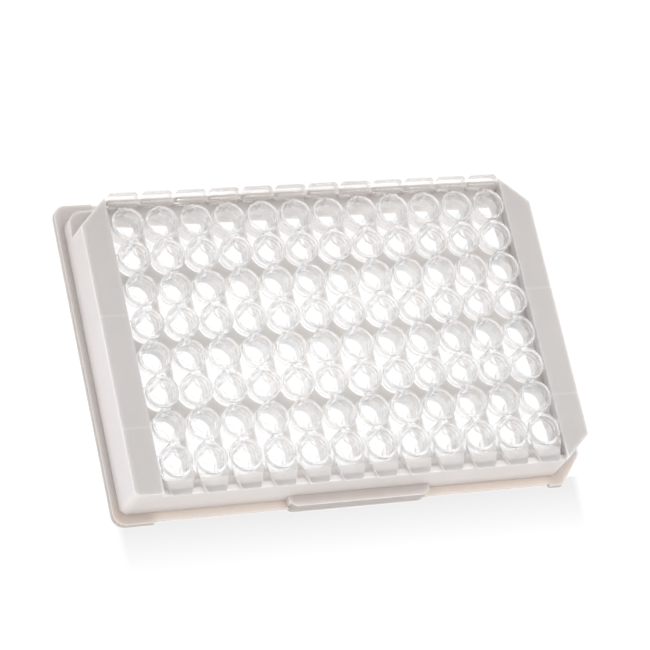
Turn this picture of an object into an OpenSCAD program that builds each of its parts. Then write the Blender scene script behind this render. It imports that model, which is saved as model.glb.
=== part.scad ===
// Strip plate for 96 wells: a moulded frame that carries twelve clear strips of eight wells.
// Millimetres. The origin is the middle of the footprint, on the surface the plate stands on.
// Rows run along Y, from row A at the rear to row H at the front. Strip 1 is at the left.

/* [Well grid] */
// Distance between neighbouring wells, the same along and across
well_pitch = 9; // [8.6:0.1:9.6]
// Wells in one strip
rows = 8; // [4:2:8]
// Gap between the rims of neighbouring wells
rim_gap = 0.5; // [0.3:0.05:1]
// How far a rim stands out from the well's body
rim_lip = 0.2; // [0.1:0.05:0.3]
// Height of the rim's outer band
rim_h = 1; // [0.6:0.1:1.6]
// Chamfer on the edges of the rim
rim_edge = 0.15; // [0.05:0.05:0.25]
// Wall of a well
well_wall = 0.6; // [0.5:0.05:1]
// How much narrower the well is at its floor than at its mouth, on the radius
well_taper = 0.25; // [0.1:0.05:0.4]
// Depth of a well
well_depth = 10.9; // [9:0.1:11.2]
// Floor of a well
floor_t = 1; // [0.8:0.1:1.4]
// Chamfer around the foot of a well
foot_edge = 0.4; // [0.2:0.1:0.6]

/* [Strip] */
// Thickness of the web that joins neighbouring wells
web_t = 1; // [0.6:0.1:1.6]
// Distance from the rim down to the top of a web
web_drop = 0.7; // [0.4:0.1:1]
// Height of the deep web's lower edge above the foot of the wells
deep_web_lift = 2.4; // [1:0.1:4]
// Distance from the rim down to the face of the end tabs
tab_drop = 0.7; // [0.4:0.1:1.2]
// Thickness of the end tabs
tab_t = 1.2; // [0.8:0.1:1.4]
// How far the front tab reaches past the outside of the frame's front rail
front_reach = 0.45; // [0.2:0.05:1.5]
// How far the rear tab reaches past the outside of the frame's rear rail
rear_reach = 0.95; // [0.2:0.05:1.5]
// Gap between neighbouring tabs at their widest
tab_gap = 1; // [0.6:0.1:2]
// How much narrower the front tab gets on each side, towards its tip
tab_narrowing = 1.5; // [0.5:0.1:2.5]
// Length of the narrowing part of the front tab
tab_taper_len = 5; // [3:0.1:5.5]
// Corner radius at the end of the rear tab
rear_tab_r = 1; // [0.4:0.1:1.5]
// Size of the small corner cuts at the tip of the front tab
front_tab_edge = 0.4; // [0.2:0.1:0.8]
// Gap between the rim of the rear well and the rear tab, which only a web crosses
rear_tab_gap = 0.45; // [0.2:0.05:0.8]
// Length of the raised grip at the end of the rear tab
grip_len = 2.6; // [1.5:0.1:3]
// Height of the grip above the rims
grip_rise = 0.4; // [0.1:0.1:1]

/* [Frame] */
// Overall height of the plate, up to the rims
plate_h = 14.35; // [13.8:0.05:17]
// Distance from the rims down to the side panels
panel_drop = 0.25; // [0.1:0.05:0.6]
// Width of a side panel
panel_w = 7.4; // [5.5:0.05:9]
// Thickness of a side panel
panel_t = 1.5; // [1:0.1:2.5]
// Gap between the outer rims and the side panels
panel_gap = 0.45; // [0.3:0.05:1.5]
// Distance between the front rims and the front rail
front_rail_gap = 2.4; // [1.4:0.05:3]
// Distance between the rear rims and the rear rail
rear_rail_gap = 1.5; // [1.4:0.05:3]
// Thickness of the outer walls, which is the width of the rails
wall_t = 1.5; // [1:0.1:1.9]
// How far the walls lean outwards from their top edge to the ledge
wall_draft = 0.4; // [0.1:0.05:0.6]
// Thickness of the inner walls beside the wells
inner_wall_t = 1.2; // [0.8:0.1:1.8]
// Length of the rear corner cuts, along X
rear_cut_x = 7.2; // [4:0.1:8]
// Length of the rear corner cuts, along Y
rear_cut_y = 7; // [4:0.1:8]
// Length of the front right corner's cut, along X
front_cut_x = 7; // [4:0.1:8]
// Length of that cut along Y
front_cut_y = 6; // [4:0.1:8]
// Radius of the front left corner
front_corner_r = 1.6; // [1:0.1:2.4]
// Height of the shelves below the two rear corner cuts
shelf_h = 6.45; // [5:0.05:9]
// Thickness of those shelves
shelf_t = 1.2; // [0.8:0.1:2]
// Radius of the corners of those shelves
shelf_corner_r = 3.4; // [2:0.1:4]
// Distance between the stiffening ribs under a side panel
rib_pitch = 29.5; // [20:0.5:34]
// Place of the front rib, along Y
rib_front_y = -22.4; // [-28:0.1:-16]
// Thickness of the stiffening ribs
rib_t = 0.8; // [0.5:0.1:1.5]
// Height of the stiffening ribs
rib_h = 6; // [3:0.5:8]

/* [Deck] */
// Distance from the rims down to the deck
deck_drop = 3.3; // [2.8:0.1:4.5]
// Height of the deck's ribs between the slots
deck_t = 3.5; // [1.5:0.1:5]
// Clearance between a well's body and its slot in the deck
slot_clearance = 0.15; // [0.1:0.05:0.25]
// Clearance between the deck and the shallow webs above it
web_clearance = 0.15; // [0.1:0.05:0.4]

/* [Flange] */
// Width of the ledge at the two ends
ledge_x = 1.88; // [1.5:0.01:4]
// Width of the ledge along the front
ledge_y = 2.69; // [2:0.01:5]
// Height of the flange
flange_h = 2.1; // [1.6:0.1:3.5]
// Radius of the footprint's corners
base_corner_r = 3.2; // [2:0.1:4.5]
// Length of the front right corner's cut in the flange, along X
flange_cut_x = 6.7; // [4:0.1:9]
// Length of that cut along Y
flange_cut_y = 7.9; // [4:0.1:9]
// Length of the full flange at each corner, along X
corner_foot = 10.4; // [9:0.1:16]
// Thickness of the lip between the corners and the middle blocks
lip_t = 0.8; // [0.5:0.1:1.4]
// How far that lip stays behind the footprint
lip_inset = 0.45; // [0.2:0.05:1]
// Length of the middle blocks
block_len = 38; // [20:1:60]
// Height of the middle blocks
block_h = 4.75; // [3:0.05:6]
// Radius of the blocks' outer corners
block_corner_r = 2.2; // [1:0.1:2.8]

/* [Hidden] */
$fn = 64;
columns = 12;
// Overlap that joins solids of one piece
join = 0.2;
// How far a cut runs past the face that it opens
over = 1;
// How much a round corner stands proud of the walls before they trim it, for a clean edge
proud = 0.03;

// Wells
rim_r = (well_pitch - rim_gap) / 2;
body_r = rim_r - rim_lip;
bore_r = body_r - well_wall;
body_foot_r = body_r - well_taper;
bore_foot_r = bore_r - well_taper;
well_floor_z = plate_h - well_depth;
strip_foot_z = well_floor_z - floor_t;
first_x = -(columns - 1) / 2 * well_pitch;
last_y = (rows - 1) / 2 * well_pitch;

// Heights
panel_z = plate_h - panel_drop;
tab_z = plate_h - tab_drop;
rail_z = tab_z - tab_t;
deck_z = plate_h - deck_drop;
deck_foot_z = deck_z - deck_t;
web_z = plate_h - web_drop;

// Places in plan
inner_x = -first_x + rim_r + panel_gap;
wall_x = inner_x + panel_w;
foot_x = wall_x + wall_draft;
base_x = foot_x + ledge_x;
rear_rail_y = last_y + rim_r + rear_rail_gap;
rear_wall_y = rear_rail_y + wall_t;
front_rail_y = -last_y - rim_r - front_rail_gap;
front_wall_y = front_rail_y - wall_t;
base_y = -front_wall_y + wall_draft + ledge_y;
tab_half = (well_pitch - tab_gap) / 2;
front_tip_y = front_reach - front_wall_y;
rear_tip_y = rear_wall_y + rear_reach;
slot_r = body_r + slot_clearance;

// Slope of the walls, which lean outwards all the way down
lean = wall_draft / (panel_z - flange_h);
// How far the walls stand out at height z from their place at the top
function lean_at(z) = lean * (panel_z - z);

// Direction and distance from the origin of a slanted cut through the corner at x and y
function cut_side(x, y, cut_x, cut_y) =
    [atan2(cut_x, cut_y), [cut_y, cut_x] * [x, y - cut_y] / norm([cut_x, cut_y])];
rear_cut = cut_side(wall_x, rear_wall_y, rear_cut_x, rear_cut_y);
front_cut = cut_side(wall_x, -front_wall_y, front_cut_x, front_cut_y);

// Direction and distance of every side of the walls at their top: right, rear, left, front and the
// cut front right corner, then the two rear cuts that only the upper walls have
lower_sides = [[0, wall_x], [90, rear_wall_y], [180, wall_x], [-90, -front_wall_y],
               [-front_cut[0], front_cut[1]]];
upper_sides = concat(lower_sides, [rear_cut, [180 - rear_cut[0], rear_cut[1]]]);

// Box between two corners
module box(low, high) {
    translate(low) cube(high - low);
}

// Block between two heights whose sides lean outwards, moved inwards by inset
module leaning_block(foot, top, sides, inset) {
    reach = 2 * base_x;
    difference() {
        box([-base_x, -base_y, foot], [base_x, base_y, top]);
        for (side = sides)
            rotate([0, 0, side[0]]) translate([side[1] - inset, 0, panel_z])
                rotate([0, -atan(lean), 0])
                    translate([0, -reach, -reach]) cube([reach, 2 * reach, 2 * reach]);
    }
}

// What a round corner of radius r takes off the corner at x and y
module corner_rounding(x, y, r) {
    foot = -over;
    top = plate_h + over;
    difference() {
        box([x - r, y - r, foot + join], [x + over, y + over, top - join]);
        translate([x - r, y - r, foot])
            cylinder(h = top - foot, r1 = r + proud + lean_at(foot), r2 = r + proud + lean_at(top));
    }
}

// Walls, side panels and shelves, before they are hollowed out
module shell() {
    difference() {
        union() {
            leaning_block(0, panel_z, upper_sides, 0);
            leaning_block(0, shelf_h, lower_sides, 0);
        }
        for (i = [0, 1])
            mirror([i, 0, 0]) corner_rounding(wall_x, rear_wall_y, shelf_corner_r);
        rotate([0, 0, 180]) corner_rounding(wall_x, -front_wall_y, front_corner_r);
    }
}

// Space under the deck and the side panels, open at the foot
module hollow() {
    pocket_x = inner_x + inner_wall_t;
    leaning_block(-over, shelf_h - shelf_t, lower_sides, wall_t);
    leaning_block(-over, deck_foot_z, upper_sides, wall_t);
    difference() {
        leaning_block(-over, panel_z - panel_t, upper_sides, wall_t);
        box([-pocket_x, -base_y, 0], [pocket_x, base_y, panel_z]);
    }
}

// Flat rectangle about the origin, half sizes x and y, with round corners
module round_plan(x, y, r) {
    square([2 * x, 2 * (y - r)], center = true);
    square([2 * (x - r), 2 * y], center = true);
    for (i = [-1, 1], j = [-1, 1])
        translate([i * (x - r), j * (y - r)]) circle(r);
}

// Flange around the foot, with a thin lip between the corners and the middle blocks
module flange() {
    difference() {
        linear_extrude(flange_h)
            difference() {
                round_plan(base_x, base_y, base_corner_r);
                polygon([[base_x - flange_cut_x, -base_y], [base_x - flange_cut_x, -base_y - over],
                         [base_x + over, -base_y - over], [base_x + over, flange_cut_y - base_y],
                         [base_x, flange_cut_y - base_y]]);
            }
        for (turn = [0, 180])
            rotate([0, 0, turn]) {
                foot_y = (turn == 0 ? rear_wall_y : -front_wall_y) + wall_draft;
                lip_x = base_x - corner_foot;
                box([-lip_x, base_y - lip_inset, -over], [lip_x, base_y + over, flange_h + over]);
                box([-lip_x, foot_y, -over], [lip_x, base_y + over, flange_h - lip_t]);
            }
    }
}

// Block in the middle of a long side, from the wall to the full footprint
module block(outer_y) {
    r = block_corner_r;
    x = block_len / 2;
    depth = base_y - outer_y + join;
    linear_extrude(block_h) {
        translate([-x, outer_y - join]) square([2 * x, depth - r]);
        translate([r - x, outer_y - join]) square([2 * (x - r), depth]);
        for (i = [-1, 1])
            translate([i * (x - r), base_y - r]) circle(r);
    }
}

// Stiffening ribs under the side panels
module panel_ribs() {
    top = panel_z - panel_t;
    for (i = [0, 1], y = [rib_front_y, rib_front_y + rib_pitch])
        mirror([i, 0, 0])
            box([inner_x + inner_wall_t - join, y - rib_t / 2, top - rib_h],
                [foot_x - wall_t + join, y + rib_t / 2, top + join]);
}

// Plan of one slot in the deck, which takes two wells of a strip
module slot_plan() {
    square([2 * slot_r, well_pitch], center = true);
    for (j = [-1, 1])
        translate([0, j * well_pitch / 2]) circle(slot_r);
}

// Deck that steadies the wells, with one slot for each pair of them
module deck() {
    translate([0, 0, deck_foot_z])
        linear_extrude(deck_t)
            difference() {
                translate([-inner_x - join, front_rail_y - join])
                    square([2 * (inner_x + join), rear_rail_y - front_rail_y + 2 * join]);
                for (k = [0:columns - 1], p = [0:rows / 2 - 1])
                    translate([first_x + k * well_pitch, last_y - (2 * p + 0.5) * well_pitch])
                        slot_plan();
            }
}

module frame() {
    color([0.83, 0.81, 0.79]) {
        difference() {
            union() {
                shell();
                flange();
                block(rear_wall_y);
                rotate([0, 0, 180]) block(-front_wall_y);
            }
            hollow();
            box([-inner_x, front_wall_y - over, rail_z], [inner_x, rear_wall_y + over, panel_z + over]);
            box([-inner_x, front_rail_y, deck_foot_z - join], [inner_x, rear_rail_y, panel_z + over]);
        }
        deck();
        panel_ribs();
    }
}

// Outside of one well, with its rim
module well_body() {
    band_z = plate_h - rim_h;
    rotate_extrude()
        polygon([[0, strip_foot_z], [body_foot_r - foot_edge, strip_foot_z],
                 [body_foot_r, strip_foot_z + foot_edge], [body_r, band_z - rim_lip],
                 [rim_r, band_z], [rim_r, plate_h - rim_edge], [rim_r - rim_edge, plate_h],
                 [0, plate_h]]);
}

// Inside of one well
module well_bore() {
    rotate_extrude()
        polygon([[0, well_floor_z], [bore_foot_r, well_floor_z], [bore_r, plate_h - rim_edge],
                 [bore_r + rim_edge, plate_h], [bore_r + rim_edge, plate_h + over],
                 [0, plate_h + over]]);
}

// Web under the rim line from one place along Y to another
module web(front_y, rear_y, foot_z) {
    box([-web_t / 2, front_y, foot_z], [web_t / 2, rear_y, web_z]);
}

// Webs between neighbouring wells: deep within a pair, shallow where the deck passes under them
module webs() {
    for (row = [0:rows - 2]) {
        y = last_y - row * well_pitch;
        web(y - well_pitch, y, row % 2 == 0 ? strip_foot_z + deep_web_lift : deck_z + web_clearance);
    }
}

// Front tab, which narrows towards its tip and lies on the front rail
module front_tab() {
    edge = front_tab_edge;
    slope = tab_narrowing / tab_taper_len;
    tip = tab_half - tab_narrowing;
    side = [[tab_half, last_y + well_wall], [tab_half, front_tip_y - tab_taper_len],
            [tip + edge * slope, front_tip_y - edge], [tip - edge, front_tip_y]];
    other_side = [for (i = [len(side) - 1:-1:0]) [-side[i][0], side[i][1]]];
    translate([0, 0, rail_z])
        linear_extrude(tab_t) mirror([0, 1]) polygon(concat(side, other_side));
}

// Plan of the rear tab from one place along Y to its tip, with its round corners
module rear_tab_plan(front_y) {
    r = rear_tab_r;
    translate([-tab_half, front_y]) square([2 * tab_half, rear_tip_y - r - front_y]);
    translate([r - tab_half, front_y]) square([2 * (tab_half - r), rear_tip_y - front_y]);
    for (i = [-1, 1])
        translate([i * (tab_half - r), rear_tip_y - r]) circle(r);
}

// Rear tab, which lies on the rear rail and carries a raised grip
module rear_tab() {
    tab_y = last_y + rim_r + rear_tab_gap;
    web(last_y, tab_y + join, deck_z + web_clearance);
    translate([0, 0, rail_z]) {
        linear_extrude(tab_t) rear_tab_plan(tab_y);
        linear_extrude(plate_h + grip_rise - rail_z) rear_tab_plan(rear_tip_y - grip_len);
    }
}

// One strip, moulded in one piece
module strip(number) {
    color([0.9, 0.93, 0.95])
        translate([first_x + (number - 1) * well_pitch, 0, 0])
            difference() {
                union() {
                    for (row = [0:rows - 1])
                        translate([0, last_y - row * well_pitch, 0]) well_body();
                    webs();
                    front_tab();
                    rear_tab();
                }
                for (row = [0:rows - 1])
                    translate([0, last_y - row * well_pitch, 0]) well_bore();
            }
}

frame();
for (k = [1:columns])
    strip(k);
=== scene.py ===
"""Strip plate for 96 wells: a milky moulded frame carries twelve clear strips of eight wells."""

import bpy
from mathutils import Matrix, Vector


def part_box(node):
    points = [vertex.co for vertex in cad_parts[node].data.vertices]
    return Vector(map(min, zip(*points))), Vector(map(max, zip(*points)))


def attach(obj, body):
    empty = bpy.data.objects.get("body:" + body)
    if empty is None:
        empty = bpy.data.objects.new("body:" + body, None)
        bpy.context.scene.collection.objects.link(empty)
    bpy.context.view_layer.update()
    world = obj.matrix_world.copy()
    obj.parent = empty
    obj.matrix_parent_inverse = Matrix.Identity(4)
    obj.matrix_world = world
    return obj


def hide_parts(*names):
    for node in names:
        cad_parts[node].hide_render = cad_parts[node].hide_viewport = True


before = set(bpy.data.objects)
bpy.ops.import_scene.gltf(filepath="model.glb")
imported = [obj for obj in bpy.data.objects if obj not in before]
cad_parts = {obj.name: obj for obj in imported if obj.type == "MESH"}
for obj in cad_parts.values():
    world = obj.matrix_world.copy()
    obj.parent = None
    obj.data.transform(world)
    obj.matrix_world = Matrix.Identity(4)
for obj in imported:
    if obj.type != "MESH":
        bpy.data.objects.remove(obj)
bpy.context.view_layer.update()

import math

import bmesh
import bpy
from mathutils import Euler, Vector

MM = 0.001

# ---------------------------------------------------------------- sizes, in millimetres

# Wells, as the strips are moulded
STRIPS = 12
ROWS = 8
PITCH = 9.0
LAST_Y = 31.5
RIM_R, RIM_LIP, RIM_H = 4.25, 0.2, 1.0
BODY_R, BODY_FOOT_R = 4.05, 3.8
BORE_R, BORE_FOOT_R = 3.45, 3.2
RIM_Z, BORE_FLOOR_Z, FOOT_Z = 14.35, 3.45, 2.45
EDGE_R, FOOT_EDGE_R, FLOOR_CORNER_R = 0.08, 0.4, 0.5
WELL_SIDES = 40

# The step below a rim: how far the eased points stand from its corners
STEP_EASE, STEP_CREST, LIP_EASE = 0.05, 0.02, 0.04

# The two small steps inside a bore: how much wider it is, and how far below the rim
BORE_STEPS = ((-0.10, 3.0), (-0.02, 2.9), (-0.01, 1.5), (0.08, 1.4))
MOUTH_WIDENING = 0.08
CUT_ABOVE_RIM = 0.5

# Webs between the wells, which end inside the walls of the wells on both sides
WEB_T, WEB_Z = 1.0, 13.65
WEB_SHORTFALL = 7.2
DEEP_WEB_Z, SHALLOW_WEB_Z = 4.85, 11.2

# Tabs
TAB_Z, TAB_T, TAB_HALF = 13.65, 1.2, 4.0
TAB_EDGE_R = 0.12
FRONT_TIP_Y, FRONT_TAPER, FRONT_NARROWING, FRONT_CORNER = -40.1, 5.0, 1.5, 0.4
FRONT_OVERLAP = 0.6
REAR_TAB_Y, REAR_TIP_Y, REAR_CORNER_R = 36.2, 39.7, 1.0
GRIP_Y, GRIP_Z = 37.1, 14.75

# Meshing: an edge sharper than this angle, in radians, is eased, and points closer than the
# distances, in metres, are made one
SHARP_EDGE = 0.5
SMOOTH_ANGLE = math.radians(35)
TURNED_MERGE, STRIP_MERGE = 1e-6, 2e-6

# ---------------------------------------------------------------- looks of the clear strips

# Where the haze changes, in metres
AMONG_WELLS_Y = 35.8 * MM
RIM_HAZE_Z = 13.1 * MM
FRONT_TAB_Y = -36.2 * MM

# A face whose normal has less than this much of Z in it counts as the edge of a tab
STEEP = 0.75

# Share of haze everywhere, and what is added at the rims, the front tabs and the tabs' edges
HAZE, RIM_HAZE, TAB_HAZE, TAB_EDGE_HAZE = 0.03, 0.17, 0.38, 0.42
HAZE_TONE, TAB_HAZE_TONE = (250, 246, 246), (236, 232, 230)

# Share of the haze that takes its light from behind
HAZE_GLOW = 0.25

# Share of the background that is seen straight through, and what the rear tabs add to it
CLEAR_SHARE, REAR_TAB_CLEAR_SHARE = 0.15, 0.45
STRIP_ROUGHNESS, STRIP_ROUGHNESS_SPREAD = 0.003, 0.03

# ---------------------------------------------------------------- looks of the milky frame

# Tones, 0 to 255, as they show. Apart from the random cloud, they are painted light and shade, by
# place and by the direction of a face, for the light that comes through the milky plastic
# Painted light: slot walls near white, as if lit through the plastic from below; painted shade in
# the deep gaps
SLOT_GLOW_TONE, SLOT_TOP_GLOW_TONE, DEEP_GAP_SHADE_TONE = (254, 253, 252), (254, 252, 251), (222, 217, 215)
# Outer walls, one tone for the sides and one for the front as painted light by face direction;
# painted shade at the foot
SIDE_WALL_TONE, FRONT_WALL_TONE, FOOT_SHADE_TONE = (212, 208, 208), (214, 209, 207), (166, 160, 156)
DECK_TONE, PANEL_TONE, RIB_TONE = (209, 206, 203), (200, 197, 196), (232, 229, 227)
# Painted light on the front rail, lifting the shade between the tabs; the rear rail darker
FRONT_RAIL_TONE, REAR_RAIL_TONE = (226, 222, 220), (198, 191, 187)
# Painted warm shade on the front flange; the block's top at a tone of its own
FLANGE_SHADE_TONE, BLOCK_TONE = (206, 197, 191), (214, 207, 204)
# Tone of the random cloud, and of the painted shade towards the rear
CLOUD_AND_SHADE_TONE = (186, 180, 176)

# Where one tone gives way to another, in metres
SLOT_CLIMB_Z, SLOT_CLIMB = 8.0 * MM, 2.8 * MM
DEEP_GAP_Y, DEEP_GAP_HALF, DEEP_GAP_Z = 9.0 * MM, 2.1 * MM, 5.0 * MM
OUTSIDE_X, OUTSIDE_Y = 54.0 * MM, 36.3 * MM
FLANGE_TOP_Z = 2.6 * MM
BLOCK_LOW_Z, BLOCK_HIGH_Z, BLOCK_Y = 4.5 * MM, 5.2 * MM, 39.0 * MM
FOOT_FACE_X, FOOT_FACE_Y, FOOT_FACE_Z = 63.0 * MM, 41.8 * MM, 5.2 * MM
RAIL_Z, RAIL_X, RAIL_Y = 11.0 * MM, 54.5 * MM, 35.5 * MM
RIB_Y, RIB_HALF, RIB_Z = (-22.4 * MM, 7.1 * MM), 0.3 * MM, 13.0 * MM
FRONT_FACING = -0.5

# How much the ribs show, how cloudy the plastic is at random, and how much painted shade is added
# for each metre towards the rear
RIB_SHARE = 0.22
CLOUDINESS, REAR_SHADE = 0.16, 7
FRAME_ROUGHNESS, FRAME_ROUGHNESS_SPREAD = 0.36, 0.12

# How far light travels in the plastic, and how far each of red, green and blue does
SCATTER_LENGTH, SCATTER_TINT = 3.0 * MM, (1.0, 0.93, 0.86)

# ---------------------------------------------------------------- studio

WORLD_LEVEL = 0.78

# The floor is a light of its own: its size in metres, its level, and what is added to that for
# light that scatters in the plate and for what is seen in the clear strips
FLOOR_SIZE = 6
FLOOR_LIGHT, FLOOR_LIGHT_ON_PLATE, FLOOR_LIGHT_IN_CLEAR = 1.04, 0.3, 0.15

# The painted reflection and shade of the plate on the floor in front of it, a grey that fades away
# from the plate, in metres
PAINTED_REFLECTION_LEVEL = 0.815
SHEEN_FRONT_Y, SHEEN_DEPTH, SHEEN_BACK_Y = -57.5 * MM, 15.0 * MM, -40.0 * MM
SHEEN_HALF_X, SHEEN_SIDE = 63.5 * MM, 2.5 * MM

# Name, place, size, power and tint; each lamp is aimed at the middle of the plate
LAMPS = (
    ("left_softbox", (-0.9, -0.1, 0.35), 0.7, 1.6, (1.0, 1.0, 1.0)),
    ("front_softbox", (0.2, -0.9, 0.6), 0.8, 0.3, (1.0, 0.99, 0.98)),
    ("top_softbox", (0.6, 0.2, 1.0), 1.0, 3.7, (1.0, 1.0, 1.0)),
)

CAMERA_LENS = 172.2
CAMERA_PLACE = (-0.30268, -0.26638, 0.67913)
CAMERA_TURN = (24.8532, -19.3296, -12.6833)


# ---------------------------------------------------------------- nodes


class Value:
    """An output socket that Python's operators can work with."""

    def __init__(self, tree, socket):
        self.tree, self.socket = tree, socket

    def _with(self, operation, *values):
        made = self.tree.node("ShaderNodeMath", {"operation": operation}, dict(enumerate(values)))
        return made["Value"]

    def __add__(self, other):
        return self._with("ADD", self, other)

    def __sub__(self, other):
        return self._with("SUBTRACT", self, other)

    def __rsub__(self, other):
        return self._with("SUBTRACT", other, self)

    def __mul__(self, other):
        return self._with("MULTIPLY", self, other)

    def __truediv__(self, other):
        return self._with("DIVIDE", self, other)

    def __gt__(self, other):
        return self._with("GREATER_THAN", self, other)

    def __lt__(self, other):
        return self._with("LESS_THAN", self, other)

    def __abs__(self):
        return self._with("ABSOLUTE", self)

    __radd__, __rmul__ = __add__, __mul__

    def at_least(self, other):
        return self._with("MAXIMUM", self, other)

    def at_most(self, other):
        return self._with("MINIMUM", self, other)

    def kept_in(self, high, low):
        """The value, brought into a range by whole widths of it."""
        return self._with("WRAP", self, high, low)

    def share(self):
        """The value, held between 0 and 1."""
        return self.at_least(0).at_most(1)


class Made:
    """A node whose outputs are read by name or number."""

    def __init__(self, tree, node):
        self.tree, self.node = tree, node

    def __getitem__(self, name):
        return Value(self.tree, self.node.outputs[name])


class Tree:
    """A node tree for a finish or a shape."""

    def __init__(self, tree):
        self.tree = tree
        tree.nodes.clear()

    def node(self, kind, settings=None, sockets=None):
        """A node of one kind: its settings first, then a value or a link for each socket."""
        node = self.tree.nodes.new(kind)
        for name, value in (settings or {}).items():
            setattr(node, name, value)
        for name, value in (sockets or {}).items():
            for one in value if isinstance(value, list) else [value]:
                if isinstance(one, Value):
                    self.tree.links.new(one.socket, node.inputs[name])
                else:
                    node.inputs[name].default_value = one
        return Made(self, node)

    def coordinates(self, kind):
        """One kind of texture coordinate, and its three parts."""
        whole = self.node("ShaderNodeTexCoord")[kind]
        return whole, self.node("ShaderNodeSeparateXYZ", None, {0: whole})

    def mix(self, share, first, second):
        """A colour between two colours."""
        sockets = {"Factor": share, 6: first, 7: second}
        return self.node("ShaderNodeMix", {"data_type": "RGBA"}, sockets)[2]

    def blend(self, share, first, second):
        """A surface between two surfaces."""
        return self.node("ShaderNodeMixShader", None, {0: share, 1: first, 2: second})["Shader"]


def colour(red, green, blue):
    """A colour written as it shows, 0 to 255, as the shader's linear one."""
    def linear(level):
        share = level / 255
        return share / 12.92 if share <= 0.04045 else ((share + 0.055) / 1.055) ** 2.4
    return (linear(red), linear(green), linear(blue), 1)


# ---------------------------------------------------------------- finishes


def new_finish(name):
    material = bpy.data.materials.new(name)
    material.use_nodes = True
    return material, Tree(material.node_tree)


def open_way(tree):
    """A surface that light passes as if it weren't there."""
    return tree.node("ShaderNodeBsdfTransparent", None, {"Color": (1, 1, 1, 1)})["BSDF"]


def see_through(tree, surface, clear_share):
    """A clear surface that shows a share of what is behind it, and that lamp light passes."""
    ray = tree.node("ShaderNodeLightPath")
    # Each blend has an open way of its own, because one node shared by both renders differently
    softened = tree.blend(clear_share, surface, open_way(tree))
    return tree.blend(ray["Is Shadow Ray"], softened, open_way(tree))


def haze(tree, front_tab, side_edge):
    """Pale scatter in the plastic, a little darker on the flats of the front tabs."""
    tone = {"Color": colour(*HAZE_TONE)}
    lit = tree.node("ShaderNodeBsdfDiffuse", None, tone)["BSDF"]
    glow = tree.node("ShaderNodeBsdfTranslucent", None, tone)["BSDF"]
    dim = tree.node("ShaderNodeBsdfDiffuse", None, {"Color": colour(*TAB_HAZE_TONE)})["BSDF"]
    return tree.blend(front_tab * (1 - side_edge), tree.blend(HAZE_GLOW, lit, glow), dim)


def clear_polystyrene():
    material, tree = new_finish("clear_polystyrene")
    place, where = tree.coordinates("Object")
    _, side = tree.coordinates("Normal")
    flow = tree.node(
        "ShaderNodeTexNoise", None, {"Vector": place, "Scale": 260, "Detail": 2}
    )["Fac"]
    ripple = tree.node(
        "ShaderNodeBump", None, {"Strength": 0.05, "Distance": 0.0002, "Height": flow}
    )
    plastic = tree.node(
        "ShaderNodeBsdfPrincipled", None,
        {
            "Base Color": (1, 1, 1, 1),
            "Roughness": flow * STRIP_ROUGHNESS_SPREAD + STRIP_ROUGHNESS,
            "IOR": 1.59,
            "Transmission Weight": 1.0,
            "Normal": ripple["Normal"],
        },
    )["BSDF"]
    rim = (where["Z"] > RIM_HAZE_Z) * (abs(where["Y"]) < AMONG_WELLS_Y)
    front_tab = where["Y"] < FRONT_TAB_Y
    side_edge = front_tab * (abs(side["Z"]) < STEEP)
    hazy_share = rim * RIM_HAZE + front_tab * TAB_HAZE + side_edge * TAB_EDGE_HAZE + HAZE
    clear_share = (where["Y"] > AMONG_WELLS_Y) * REAR_TAB_CLEAR_SHARE + CLEAR_SHARE
    clear = see_through(tree, plastic, clear_share)
    surface = tree.blend(hazy_share, clear, haze(tree, front_tab, side_edge))
    tree.node("ShaderNodeOutputMaterial", None, {"Surface": surface})
    return material


def wall_tone(tree, where, side, outside):
    """Upright faces in painted light and shade: near white in the slots, shaded in the deep gaps,
    darker outside, darkest at the foot.
    """
    x, y, z = where["X"], where["Y"], where["Z"]
    # Painted light: near white on the slot walls, a touch lighter low down, as if lit from below
    climb = ((z - SLOT_CLIMB_Z) / SLOT_CLIMB).share()
    # Painted shade on the slot walls in the deep gaps between the strips, where no well lets light
    # through
    from_gap = abs((y - DEEP_GAP_Y).kept_in(PITCH * MM, -PITCH * MM))
    deep_gap_shade = (from_gap < DEEP_GAP_HALF) * (z > DEEP_GAP_Z)
    slot = tree.mix(climb, colour(*SLOT_GLOW_TONE), colour(*SLOT_TOP_GLOW_TONE))
    slot = tree.mix(deep_gap_shade, slot, colour(*DEEP_GAP_SHADE_TONE))
    # Painted light and shade by the direction of a face: the front walls take a tone of their own
    facing_front = side["Y"] < FRONT_FACING
    outer = tree.mix(facing_front, colour(*SIDE_WALL_TONE), colour(*FRONT_WALL_TONE))
    # Painted shade: the lowest band of the outer walls, near the floor, is darkest
    foot = (z < FOOT_FACE_Z) * (abs(x) > FOOT_FACE_X).at_least(abs(y) > FOOT_FACE_Y)
    return tree.mix(outside, slot, tree.mix(foot, outer, colour(*FOOT_SHADE_TONE)))


def top_tone(tree, where, outside):
    """The tone of the level faces in painted light and shade: deck, rails, panels with the ribs
    below them, flange, block.
    """
    x, y, z = where["X"], where["Y"], where["Z"]
    # Painted light on the front rail, where shade gathers between the tabs; a darker tone on the
    # rear rail
    rail = (z > RAIL_Z) * (abs(y) > RAIL_Y) * (abs(x) < RAIL_X)
    rail_tone = tree.mix(y > 0, colour(*FRONT_RAIL_TONE), colour(*REAR_RAIL_TONE))
    tone = tree.mix(rail, colour(*DECK_TONE), rail_tone)
    tone = tree.mix(outside * (1 - rail), tone, colour(*PANEL_TONE))
    # Painted warm shade on the front flange
    flange = (z < FLANGE_TOP_Z) * (y < -OUTSIDE_Y)
    tone = tree.mix(flange, tone, colour(*FLANGE_SHADE_TONE))
    near_rib, far_rib = (abs(y - rib_y) < RIB_HALF for rib_y in RIB_Y)
    rib = near_rib.at_least(far_rib) * outside * (z > RIB_Z)
    tone = tree.mix(rib * RIB_SHARE, tone, colour(*RIB_TONE))
    block = (z > BLOCK_LOW_Z) * (z < BLOCK_HIGH_Z) * (abs(y) > BLOCK_Y)
    return tree.mix(block, tone, colour(*BLOCK_TONE))


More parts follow.
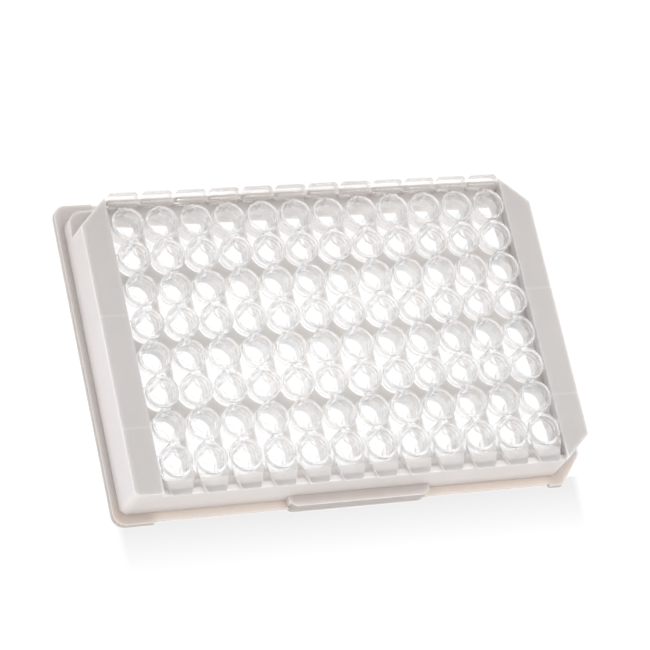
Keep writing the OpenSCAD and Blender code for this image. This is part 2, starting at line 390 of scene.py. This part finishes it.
def milky_polypropylene():
    material, tree = new_finish("milky_polypropylene")
    place, where = tree.coordinates("Object")
    _, side = tree.coordinates("Normal")
    cloud = tree.node(
        "ShaderNodeTexNoise", None, {"Vector": place, "Scale": 35, "Detail": 3}
    )["Fac"]
    grain = tree.node(
        "ShaderNodeTexNoise", None, {"Vector": place, "Scale": 2600, "Detail": 2}
    )["Fac"]
    outside = (abs(where["X"]) > OUTSIDE_X).at_least(abs(where["Y"]) > OUTSIDE_Y)
    walls = wall_tone(tree, where, side, outside)
    # Upright and level faces take different tones: painted light and shade by the direction of a
    # face
    clean = tree.mix(abs(side["Z"]), walls, top_tone(tree, where, outside))
    # Random cloud, plus painted shade that grows towards the rear
    cloud_and_rear_shade = cloud * CLOUDINESS + where["Y"].at_least(0) * REAR_SHADE
    bump = tree.node(
        "ShaderNodeBump", None, {"Strength": 0.06, "Distance": 0.00005, "Height": grain}
    )
    surface = tree.node(
        "ShaderNodeBsdfPrincipled", None,
        {
            "Base Color": tree.mix(cloud_and_rear_shade, clean, colour(*CLOUD_AND_SHADE_TONE)),
            "Roughness": cloud * FRAME_ROUGHNESS_SPREAD + FRAME_ROUGHNESS,
            "IOR": 1.49,
            "Subsurface Weight": 1.0,
            "Subsurface Radius": SCATTER_TINT,
            "Subsurface Scale": SCATTER_LENGTH,
            "Normal": bump["Normal"],
        },
    )
    tree.node("ShaderNodeOutputMaterial", None, {"Surface": surface["BSDF"]})
    return material


# ---------------------------------------------------------------- strips


def add_object(name, data):
    made = bpy.data.objects.new(name, data)
    bpy.context.scene.collection.objects.link(made)
    return made


def arc(centre, radius, start, end, steps):
    """Points on part of a circle, from one angle in degrees to another."""
    angles = [math.radians(start + (end - start) * i / steps) for i in range(steps + 1)]
    return [(centre[0] + radius * math.cos(a), centre[1] + radius * math.sin(a)) for a in angles]


def both_sides(right):
    """An outline in plan, from its right half."""
    return right + [(-x, y) for x, y in reversed(right)]


def profile_object(name, points):
    """A line of points of radius and height, which the wells are turned from."""
    mesh = bpy.data.meshes.new(name)
    corners = [((r - RIM_R) * MM, -z * MM, 0) for r, z in points]
    mesh.from_pydata(corners, [(i, i + 1) for i in range(len(points) - 1)], [])
    return add_object(name, mesh)


def well_outside():
    band_z = RIM_Z - RIM_H
    step_z = band_z - RIM_LIP
    foot_centre = (BODY_FOOT_R - FOOT_EDGE_R, FOOT_Z + FOOT_EDGE_R)
    return profile_object("well_outside", [
        (0, FOOT_Z),
        *arc(foot_centre, FOOT_EDGE_R, -90, 0, 3),
        (BODY_R, step_z - STEP_EASE),
        (BODY_R + STEP_EASE, step_z + STEP_CREST),
        (RIM_R - LIP_EASE, band_z - LIP_EASE),
        (RIM_R, band_z + STEP_EASE),
        *arc((RIM_R - EDGE_R, RIM_Z - EDGE_R), EDGE_R, 0, 90, 3),
        (0, RIM_Z),
    ])


def well_bore():
    mouth_r = BORE_R + EDGE_R + MOUTH_WIDENING
    floor_centre = (BORE_FOOT_R - FLOOR_CORNER_R, BORE_FLOOR_Z + FLOOR_CORNER_R)
    return profile_object("well_bore", [
        (0, BORE_FLOOR_Z),
        *arc(floor_centre, FLOOR_CORNER_R, -90, 0, 4),
        *[(BORE_R + wider, RIM_Z - depth) for wider, depth in BORE_STEPS],
        *arc((mouth_r, RIM_Z - EDGE_R), EDGE_R, 180, 90, 3),
        (mouth_r, RIM_Z + CUT_ABOVE_RIM),
        (0, RIM_Z + CUT_ABOVE_RIM),
    ])


def slab(name, outline, low, high):
    """A flat piece with eased edges, from its outline in plan."""
    bm = bmesh.new()
    face = bm.faces.new([bm.verts.new((x * MM, y * MM, low * MM)) for x, y in outline])
    moved = bmesh.ops.extrude_face_region(bm, geom=[face])["geom"]
    for part in moved:
        if isinstance(part, bmesh.types.BMVert):
            part.co.z = high * MM
    bmesh.ops.recalc_face_normals(bm, faces=bm.faces)
    sharp = [edge for edge in bm.edges if edge.calc_face_angle(0) > SHARP_EDGE]
    bmesh.ops.bevel(
        bm, geom=sharp, offset=TAB_EDGE_R * MM, segments=2, affect="EDGES", profile=0.5
    )
    mesh = bpy.data.meshes.new(name)
    bm.to_mesh(mesh)
    bm.free()
    return add_object(name, mesh)


def front_tab():
    tip = TAB_HALF - FRONT_NARROWING
    slope = FRONT_NARROWING / FRONT_TAPER
    right = [
        (TAB_HALF, -LAST_Y - FRONT_OVERLAP),
        (TAB_HALF, FRONT_TIP_Y + FRONT_TAPER),
        (tip + FRONT_CORNER * slope, FRONT_TIP_Y + FRONT_CORNER),
        (tip - FRONT_CORNER, FRONT_TIP_Y),
    ]
    return slab("front_tab", both_sides(right), TAB_Z - TAB_T, TAB_Z)


def rear_piece(name, front_y, top_z):
    """The rear tab, or the raised grip on it: the same end, from another line in front."""
    centre = (TAB_HALF - REAR_CORNER_R, REAR_TIP_Y - REAR_CORNER_R)
    right = [(TAB_HALF, front_y)] + arc(centre, REAR_CORNER_R, 0, 90, 5)
    return slab(name, both_sides(right), TAB_Z - TAB_T, top_z)


def strip_shape():
    """The shape of a strip: turned wells in a row, webs between them and a tab at each end."""
    group = bpy.data.node_groups.new("Moulded strip", "GeometryNodeTree")
    tree = Tree(group)
    face = group.interface
    face.new_socket("Geometry", in_out="OUTPUT", socket_type="NodeSocketGeometry")
    face.new_socket("Geometry", in_out="INPUT", socket_type="NodeSocketGeometry")
    inputs = {}
    for name, kind in (
        ("Bore", "Object"), ("Front Tab", "Object"), ("Rear Tab", "Object"), ("Grip", "Object"),
        ("Plastic", "Material"), ("Rows", "Int"), ("Sides", "Int"), ("Pitch", "Float"),
        ("Turning Radius", "Float"), ("Rear Y", "Float"), ("Web Thickness", "Float"),
        ("Web Top", "Float"), ("Deep Web Foot", "Float"), ("Shallow Web Foot", "Float"),
        ("Smooth Angle", "Float"),
    ):
        made = face.new_socket(name, in_out="INPUT", socket_type="NodeSocket" + kind)
        inputs[name] = made.identifier
    given = tree.node("NodeGroupInput")
    circle = tree.node(
        "GeometryNodeCurvePrimitiveCircle", None,
        {"Resolution": given["Sides"], "Radius": given["Turning Radius"]},
    )

    def turned(line):
        """A closed solid turned from a line about the axis of a well."""
        curve = tree.node("GeometryNodeMeshToCurve", None, {"Mesh": line})
        skin = tree.node(
            "GeometryNodeCurveToMesh", None,
            {"Curve": circle["Curve"], "Profile Curve": curve["Curve"]},
        )
        closed = tree.node(
            "GeometryNodeMergeByDistance", None,
            {"Geometry": skin["Mesh"], "Distance": TURNED_MERGE},
        )
        return tree.node("GeometryNodeFlipFaces", None, {"Mesh": closed["Geometry"]})["Mesh"]

    def placed(name):
        found = tree.node("GeometryNodeObjectInfo", None, {"Object": given[name]})
        return found["Geometry"]

    def point(x, y, z):
        return tree.node("ShaderNodeCombineXYZ", None, {"X": x, "Y": y, "Z": z})["Vector"]

    def row(solid, count, first_y, step):
        """Copies of one solid along the strip."""
        line = tree.node(
            "GeometryNodeMeshLine", {"mode": "OFFSET"},
            {
                "Count": count,
                "Start Location": point(0, first_y, 0),
                "Offset": point(0, step * -1, 0),
            },
        )
        copies = tree.node(
            "GeometryNodeInstanceOnPoints", None, {"Points": line["Mesh"], "Instance": solid}
        )
        return tree.node(
            "GeometryNodeRealizeInstances", None, {"Geometry": copies["Instances"]}
        )["Geometry"]

    def web(foot, top):
        """One web, centred across the strip, from its foot to its top."""
        length = given["Pitch"] - WEB_SHORTFALL * MM
        block = tree.node(
            "GeometryNodeMeshCube", None,
            {"Size": point(given["Web Thickness"], length, top - foot)},
        )
        return tree.node(
            "GeometryNodeTransform", None,
            {"Geometry": block["Mesh"], "Translation": point(0, 0, (top + foot) * 0.5)},
        )["Geometry"]

    rows, pitch, rear_y = given["Rows"], given["Pitch"], given["Rear Y"]
    bodies = row(turned(given["Geometry"]), rows, rear_y, pitch)
    bores = row(turned(placed("Bore")), rows, rear_y, pitch)
    deep = web(given["Deep Web Foot"], given["Web Top"])
    shallow = web(given["Shallow Web Foot"], given["Web Top"])
    deep_webs = row(deep, rows * 0.5, rear_y - pitch * 0.5, pitch * 2)
    shallow_webs = row(shallow, rows * 0.5, rear_y + pitch * 0.5, pitch * 2)
    tabs = [placed(name) for name in ("Front Tab", "Rear Tab", "Grip")]
    whole = tree.node(
        "GeometryNodeMeshBoolean", {"operation": "UNION", "solver": "MANIFOLD"},
        {"Mesh 2": [bodies, deep_webs, shallow_webs, *tabs]},
    )
    hollow = tree.node(
        "GeometryNodeMeshBoolean", {"operation": "DIFFERENCE", "solver": "MANIFOLD"},
        {"Mesh 1": whole["Mesh"], "Mesh 2": bores},
    )
    clean = tree.node(
        "GeometryNodeMergeByDistance", None,
        {"Geometry": hollow["Mesh"], "Distance": STRIP_MERGE},
    )
    angle = tree.node("GeometryNodeInputMeshEdgeAngle")["Unsigned Angle"]
    smooth = tree.node(
        "GeometryNodeSetShadeSmooth", {"domain": "FACE"}, {"Geometry": clean["Geometry"]}
    )
    shaded = tree.node(
        "GeometryNodeSetShadeSmooth", {"domain": "EDGE"},
        {
            "Geometry": smooth["Geometry"],
            "Selection": angle > given["Smooth Angle"],
            "Shade Smooth": False,
        },
    )
    loose = tree.node("GeometryNodeRealizeInstances", None, {"Geometry": shaded["Geometry"]})
    coated = tree.node(
        "GeometryNodeSetMaterial", None,
        {"Geometry": loose["Geometry"], "Material": given["Plastic"]},
    )
    tree.node("NodeGroupOutput", None, {0: coated["Geometry"]})
    return group, inputs


def moulded_strip_mesh(plastic):
    """The mesh of one strip, in the middle of the plate's length."""
    host = well_outside()
    helpers = {
        "Bore": well_bore(),
        "Front Tab": front_tab(),
        "Rear Tab": rear_piece("rear_tab", REAR_TAB_Y, TAB_Z),
        "Grip": rear_piece("grip", GRIP_Y, GRIP_Z),
    }
    group, inputs = strip_shape()
    shape = host.modifiers.new("Strip", "NODES")
    shape.node_group = group
    sizes = {
        **helpers, "Plastic": plastic, "Rows": ROWS, "Sides": WELL_SIDES, "Pitch": PITCH * MM,
        "Turning Radius": RIM_R * MM, "Rear Y": LAST_Y * MM, "Web Thickness": WEB_T * MM,
        "Web Top": WEB_Z * MM, "Deep Web Foot": DEEP_WEB_Z * MM,
        "Shallow Web Foot": SHALLOW_WEB_Z * MM, "Smooth Angle": SMOOTH_ANGLE,
    }
    for name, value in sizes.items():
        shape[inputs[name]] = value
    bpy.context.view_layer.update()
    graph = bpy.context.evaluated_depsgraph_get()
    mesh = bpy.data.meshes.new_from_object(host.evaluated_get(graph))
    for helper in [host, *helpers.values()]:
        bpy.data.objects.remove(helper)
    return mesh


def add_strips(plastic):
    """Twelve strips, each in the place of its own solid."""
    first = moulded_strip_mesh(plastic)
    for number in range(1, STRIPS + 1):
        node = f"strip_{number}"
        low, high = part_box(node)
        centre_x = (low[0] + high[0]) / 2
        mesh = first.copy()
        for vertex in mesh.vertices:
            vertex.co.x += centre_x
        strip = add_object(f"clear_strip_{number}", mesh)
        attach(strip, "root")
        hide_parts(node)
    bpy.data.meshes.remove(first)


# ---------------------------------------------------------------- frame


def add_frame(plastic):
    """The frame keeps its own solid and takes the milky plastic."""
    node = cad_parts["frame"]
    if not node.material_slots:
        node.data.materials.append(plastic)
    for slot in node.material_slots:
        slot.material = plastic


# ---------------------------------------------------------------- studio


def kinds_of_ray(tree):
    """Whether a ray is the camera's own, has come off or through a surface, or has scattered."""
    path = tree.node("ShaderNodeLightPath")
    through = path["Is Glossy Ray"].at_least(path["Is Transmission Ray"])
    return path["Is Camera Ray"], through, path["Diffuse Depth"].at_most(1)


def add_floor():
    """A white floor that gives off its own light, with a painted reflection and shade of the plate
    in front of it.
    """
    bpy.ops.mesh.primitive_plane_add(size=FLOOR_SIZE)
    floor = bpy.context.object
    floor.name = "floor"
    material, tree = new_finish("pale_floor")
    camera, through, scattered = kinds_of_ray(tree)
    _, where = tree.coordinates("Object")
    along = ((where["Y"] - SHEEN_FRONT_Y) / SHEEN_DEPTH).share()
    across = ((SHEEN_HALF_X - abs(where["X"])) / SHEEN_SIDE).share()
    # Painted reflection and shade: to the camera only, the floor greys in front of the plate and
    # fades out away from it
    painted_reflection = camera * along * across * (where["Y"] < SHEEN_BACK_Y)
    tone = tree.mix(painted_reflection, (1, 1, 1, 1), (PAINTED_REFLECTION_LEVEL, PAINTED_REFLECTION_LEVEL, PAINTED_REFLECTION_LEVEL, 1))
    on_plate = scattered * FLOOR_LIGHT_ON_PLATE
    in_clear = (1 - scattered) * through * FLOOR_LIGHT_IN_CLEAR
    light = tree.node(
        "ShaderNodeEmission", None,
        {"Color": tone, "Strength": on_plate + in_clear + FLOOR_LIGHT},
    )
    tree.node("ShaderNodeOutputMaterial", None, {"Surface": light["Emission"]})
    floor.data.materials.append(material)


def add_world():
    """White where it is seen, directly or in the plastic, and plain studio light elsewhere."""
    world = bpy.data.worlds.new("studio")
    bpy.context.scene.world = world
    world.use_nodes = True
    tree = Tree(world.node_tree)
    camera, through, scattered = kinds_of_ray(tree)
    seen = camera.at_least(through * (1 - scattered))
    strength = seen * (1 - WORLD_LEVEL) + WORLD_LEVEL
    back = tree.node("ShaderNodeBackground", None, {"Color": (1, 1, 1, 1), "Strength": strength})
    tree.node("ShaderNodeOutputWorld", None, {"Surface": back["Background"]})


def add_lamp(name, place, size, power, tint):
    data = bpy.data.lights.new(name, "AREA")
    data.shape, data.size, data.energy, data.color = "DISK", size, power, tint
    lamp = add_object(name, data)
    lamp.location = place
    lamp.rotation_euler = (-Vector(place)).to_track_quat("-Z", "Y").to_euler()


def add_camera():
    data = bpy.data.cameras.new("camera")
    data.lens = CAMERA_LENS
    data.clip_start, data.clip_end = 0.05, 50
    camera = add_object("camera", data)
    camera.rotation_mode = "XYZ"
    camera.location = CAMERA_PLACE
    camera.rotation_euler = Euler([math.radians(angle) for angle in CAMERA_TURN])
    bpy.context.scene.camera = camera


bpy.context.scene.view_settings.view_transform = "Standard"
paths = bpy.context.scene.cycles
paths.max_bounces, paths.transmission_bounces, paths.glossy_bounces = 20, 18, 14
paths.transparent_max_bounces = 24
add_camera()
add_world()
add_floor()
for lamp in LAMPS:
    add_lamp(*lamp)
add_frame(milky_polypropylene())
add_strips(clear_polystyrene())
